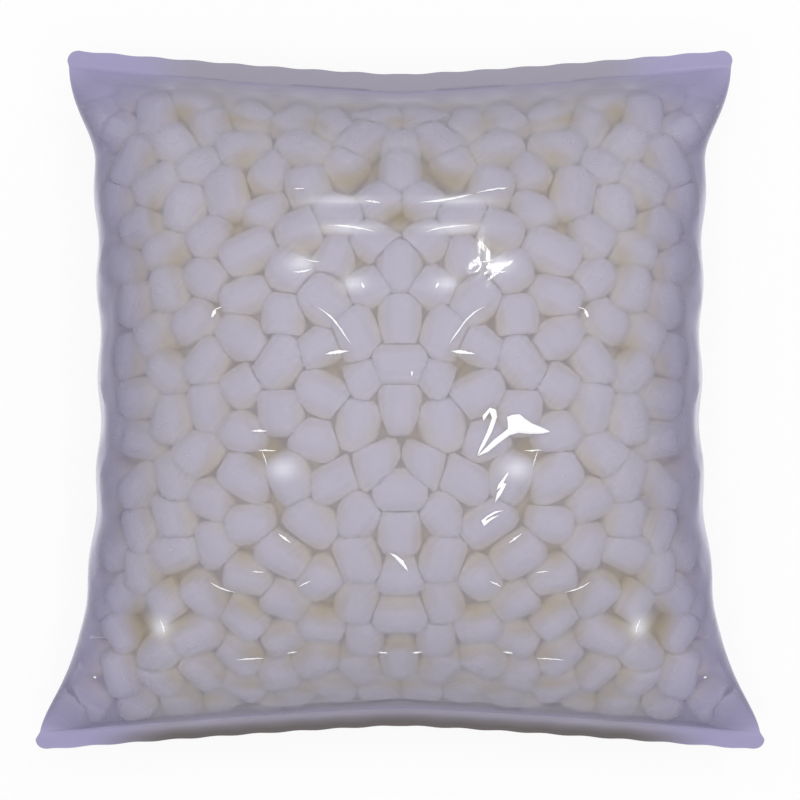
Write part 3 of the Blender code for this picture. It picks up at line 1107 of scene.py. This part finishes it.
foamLook = {
    "face": (0.615, 0.595, 0.665, 1),
    "pale": (0.665, 0.645, 0.71, 1),
    # painted light: a brighter cream down the peanuts' sides, by depth under the film, that lifts the
    # shade there
    "paintedGrooveLight": (0.85, 0.805, 0.73, 1),
    "paintedGrooveLightReach": (0.0015, 0.0070),
    # painted shade: a brown in the deep gaps, by depth under the film
    "hollow": (0.60, 0.49, 0.29, 1),
    "hollowReach": (0.0080, 0.0150),
    "grainScale": 900.0,
    "dimpleScale": 160.0,
    "patchScale": 40.0,
    "grainShare": 0.4,
    "roughness": 0.7,
    "roughnessSpread": 0.1,
    "bumpStrength": 0.10,
    "bumpDistance": 0.0010,
    "softness": 0.9,
    "softRadius": (1.0, 0.95, 0.85),
    "softDepth": 0.006,
}


def foamMaterial():  # soft starch foam, with painted light in cream down the peanuts' sides and painted shade in brown in deep gaps
    look = foamLook
    material, tree = newMaterial("starchFoam")
    place = addNode(tree, "ShaderNodeTexCoord", output=3)
    depth = attribute(tree, "depth")
    grain = noise(tree, place, look["grainScale"], 2.0)
    dimple = noise(tree, place, look["dimpleScale"], 3.0)
    patch = noise(tree, place, look["patchScale"], 1.0)
    plain = mixColours(tree, patch, look["face"], look["pale"])
    paintedGrooveLight = mixColours(tree, within(tree, depth, look["paintedGrooveLightReach"]), plain, look["paintedGrooveLight"])
    colour = mixColours(tree, within(tree, depth, look["hollowReach"]), paintedGrooveLight, look["hollow"])
    height = {
        "Height": grain * look["grainShare"] + dimple,
        "Strength": look["bumpStrength"],
        "Distance": look["bumpDistance"],
    }
    shader = addNode(
        tree,
        "ShaderNodeBsdfPrincipled",
        {},
        {
            "Base Color": colour,
            "Roughness": grain * look["roughnessSpread"] + look["roughness"],
            "Subsurface Weight": look["softness"],
            "Subsurface Radius": look["softRadius"],
            "Subsurface Scale": look["softDepth"],
            "Normal": addNode(tree, "ShaderNodeBump", {}, height),
        },
    )
    finishMaterial(tree, shader)
    return material


filmLook = {
    "clearTint": (0.97, 0.965, 0.985, 1),
    "veil": (0.50, 0.475, 0.565, 1),
    "seal": (0.315, 0.295, 0.36, 1),
    "blue": (0.337, 0.312, 0.497, 1),
    # painted light on steep film
    "steepPaintedLight": (0.56, 0.53, 0.735, 1),
    # painted shadow along the bottom edge
    "under": (0.11, 0.095, 0.095, 1),
    # painted sheen
    "paintedSheen": (0.86, 0.85, 0.93, 1),
    "paintedSheenShare": 0.20,
    # milkier film off the peanuts, partly painted light over the gaps
    "bridge": (0.56, 0.535, 0.57, 1),
    "bridgeShare": 0.22,
    # painted shade over the deep gaps
    "gap": (0.40, 0.33, 0.22, 1),
    "gapShare": 0.18,
    "clearHaze": 0.39,
    "milkyHaze": 0.88,
    "grazeShare": 0.32,
    "steepGraze": 0.8,
    "mostSolid": 0.97,
    "roughness": 0.10,
    "sealRoughness": 0.40,
    "wrinkleScale": 60.0,
    "wrinkleStretch": 0.45,
    "wrinkleShare": 0.10,
    "wrinkleTwist": 1.5,
    "crumpleScale": 26.0,
    "crumpleTwist": 0.8,
    "crumpleShare": 0.9,
    "bumpStrength": 0.35,
    "bumpDistance": 0.004,
    "ior": 1.5,
    # painted highlight: the near-white colour of the folds and patches
    "fold": (0.93, 0.93, 0.95, 1),
    "foldStreak": 480.0,
    "foldRoughness": 0.2,
}


def filmMaterial():  # thin clear film: glossy, with a lavender haze, and painted light, shade and sheens in its colour
    look = filmLook
    material, tree = newMaterial("clearFilm")
    place = addNode(tree, "ShaderNodeTexCoord", output=3)
    haze, steepPaintedLight, paintedSheen, bridge, gap = [
        attribute(tree, name) for name in ("haze", "steepPaintedLight", "paintedSheen", "bridge", "gap")
    ]
    # partly the film's own haze, partly painted light: a lighter milky tone where the film bridges the
    # gaps
    colour = mixColours(tree, bridge, look["veil"], look["bridge"])
    # painted shade: brown over the deep gaps
    colour = mixColours(tree, gap, colour, look["gap"])
    colour = mixColours(tree, haze, colour, look["seal"])
    colour = mixColours(tree, attribute(tree, "blue"), colour, look["blue"])
    # painted light: lighter where the film is steep
    colour = mixColours(tree, steepPaintedLight, colour, look["steepPaintedLight"])
    # painted shadow along the bottom edge
    colour = mixColours(tree, attribute(tree, "shade"), colour, look["under"])
    # painted sheen: whiter blobs on the front film
    colour = mixColours(tree, paintedSheen, colour, look["paintedSheen"])
    scale = (1.0, look["wrinkleStretch"], 1.0)
    stretched = addNode(tree, "ShaderNodeMapping", {}, {"Vector": place, "Scale": scale})
    soft = noise(tree, stretched, look["wrinkleScale"], 3.0, look["wrinkleTwist"])
    pleat = noise(tree, place, look["crumpleScale"], 2.0, look["crumpleTwist"])
    crumple = addNode(tree, "ShaderNodeMath", {"operation": "ABSOLUTE"}, {0: pleat - 0.5})
    height = {
        "Height": crumple * look["crumpleShare"] + soft * look["wrinkleShare"],
        "Strength": look["bumpStrength"],
        "Distance": look["bumpDistance"],
    }
    bump = addNode(tree, "ShaderNodeBump", {}, height)
    milky = addNode(
        tree,
        "ShaderNodeBsdfPrincipled",
        {},
        {
            "Base Color": colour,
            "Roughness": haze * (look["sealRoughness"] - look["roughness"]) + look["roughness"],
            "IOR": look["ior"],
            "Normal": bump,
        },
    )
    clear = addNode(tree, "ShaderNodeBsdfTransparent", {}, {"Color": look["clearTint"]})
    graze = addNode(tree, "ShaderNodeFresnel", {}, {"IOR": look["ior"], "Normal": bump})
    solid = haze * (look["milkyHaze"] - look["clearHaze"]) + look["clearHaze"]
    solid = solid + graze * (steepPaintedLight * look["steepGraze"] + look["grazeShare"])
    solid = solid + paintedSheen * look["paintedSheenShare"]
    solid = solid + bridge * look["bridgeShare"] + gap * look["gapShare"]
    mix = {0: solid.atMost(look["mostSolid"]), 1: clear, 2: milky}
    finishMaterial(tree, addNode(tree, "ShaderNodeMixShader", {}, mix))
    return material


def paintedHighlightMaterial():  # painted highlight: film on the folds and patches, near white and glossy
    look = filmLook
    material, tree = newMaterial("paintedHighlightFilm")
    place = addNode(tree, "ShaderNodeTexCoord", output=3)
    streak = noise(tree, place, look["foldStreak"], 1.0)
    roughness = streak * look["foldRoughness"] + look["roughness"]
    sockets = {"Base Color": look["fold"], "Roughness": roughness, "Coat Weight": 1.0}
    finishMaterial(tree, addNode(tree, "ShaderNodeBsdfPrincipled", {}, sockets))
    return material


def dress(piece, material, node=None):  # gives a piece its finish and its place in the model
    piece.data.materials.clear()
    piece.data.materials.append(material)
    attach(piece, "root")
    if node:
        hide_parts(node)


print("finishing the surfaces")
starchFoam = foamMaterial()
dress(film, filmMaterial(), "film_bag")
dress(paintedHighlightFolds, paintedHighlightMaterial())
dress(packedPeanuts, starchFoam, "peanut_heap")
dress(deeperPeanuts, starchFoam)
dress(heapCore, starchFoam)
for made, node in loosePeanuts:
    dress(made, starchFoam, node)

stageForm = {
    "floorSize": 6.0,
    "floorColour": (0.88, 0.88, 0.88, 1),
    "floorWhite": 0.88,
    "underBag": 0.0005,
    "cameraHeight": 1.56,
    "framed": 0.4391,
    "sensorWidth": 36.0,
    "worldStrength": 0.52,
    "lamps": (
        ("softAbove", 1.4, 20.5, (0.0, -0.02, 1.9), False),
        ("spark", 0.06, 2.0, (0.30, 0.75, 1.3), True),
    ),
}


def whiteRays(tree):  # 1 for rays that should see a white surround
    seen = addNode(tree, "ShaderNodeLightPath", output=0)
    glossy = addNode(tree, "ShaderNodeLightPath", output=3)
    through = addNode(tree, "ShaderNodeLightPath", output=6)
    return (seen + glossy + through).atMost(1.0)


def addFloor():
    place = (0, 0, -stageForm["underBag"])
    bpy.ops.mesh.primitive_plane_add(size=stageForm["floorSize"], location=place)
    floor = bpy.context.object
    floor.name = "floor"
    material, tree = newMaterial("paleFloor")
    plain = addNode(tree, "ShaderNodeBsdfDiffuse", {}, {"Color": stageForm["floorColour"]})
    white = addNode(tree, "ShaderNodeEmission", {}, {"Color": (1, 1, 1, 1), "Strength": 1.0})
    mix = {0: whiteRays(tree) * stageForm["floorWhite"], 1: plain, 2: white}
    finishMaterial(tree, addNode(tree, "ShaderNodeMixShader", {}, mix))
    floor.data.materials.append(material)


def addLamp(name, size, power, place, mirrored):
    bpy.ops.object.light_add(type="AREA", location=place)
    lamp = bpy.context.object
    lamp.name = name
    lamp.data.size = size
    lamp.data.energy = power
    lamp.visible_glossy = mirrored
    target = Vector((0, 0, bagForm["sealHeight"]))
    lamp.rotation_euler = (target - Vector(place)).to_track_quat("-Z", "Y").to_euler()


def addWorld():
    world = bpy.data.worlds.new("studio")
    bpy.context.scene.world = world
    world.use_nodes = True
    tree = world.node_tree
    tree.nodes.clear()
    plain = stageForm["worldStrength"]
    strength = whiteRays(tree) * (1.0 - plain) + plain
    light = addNode(tree, "ShaderNodeBackground", {}, {"Color": (1, 1, 1, 1), "Strength": strength})
    out = tree.nodes.new("ShaderNodeOutputWorld")
    tree.links.new(light.socket, out.inputs["Surface"])


def addCamera():
    bpy.ops.object.camera_add(location=(0, 0, stageForm["cameraHeight"]), rotation=(0, 0, 0))
    camera = bpy.context.object
    distance = stageForm["cameraHeight"] - bagForm["sealHeight"]
    camera.data.sensor_width = stageForm["sensorWidth"]
    camera.data.lens = camera.data.sensor_width * distance / stageForm["framed"]
    bpy.context.scene.camera = camera


print("setting the stage")
addFloor()
addWorld()
for name, size, power, place, mirrored in stageForm["lamps"]:
    addLamp(name, size, power, place, mirrored)
addCamera()
bpy.context.scene.view_settings.view_transform = "Standard"

print("finished")
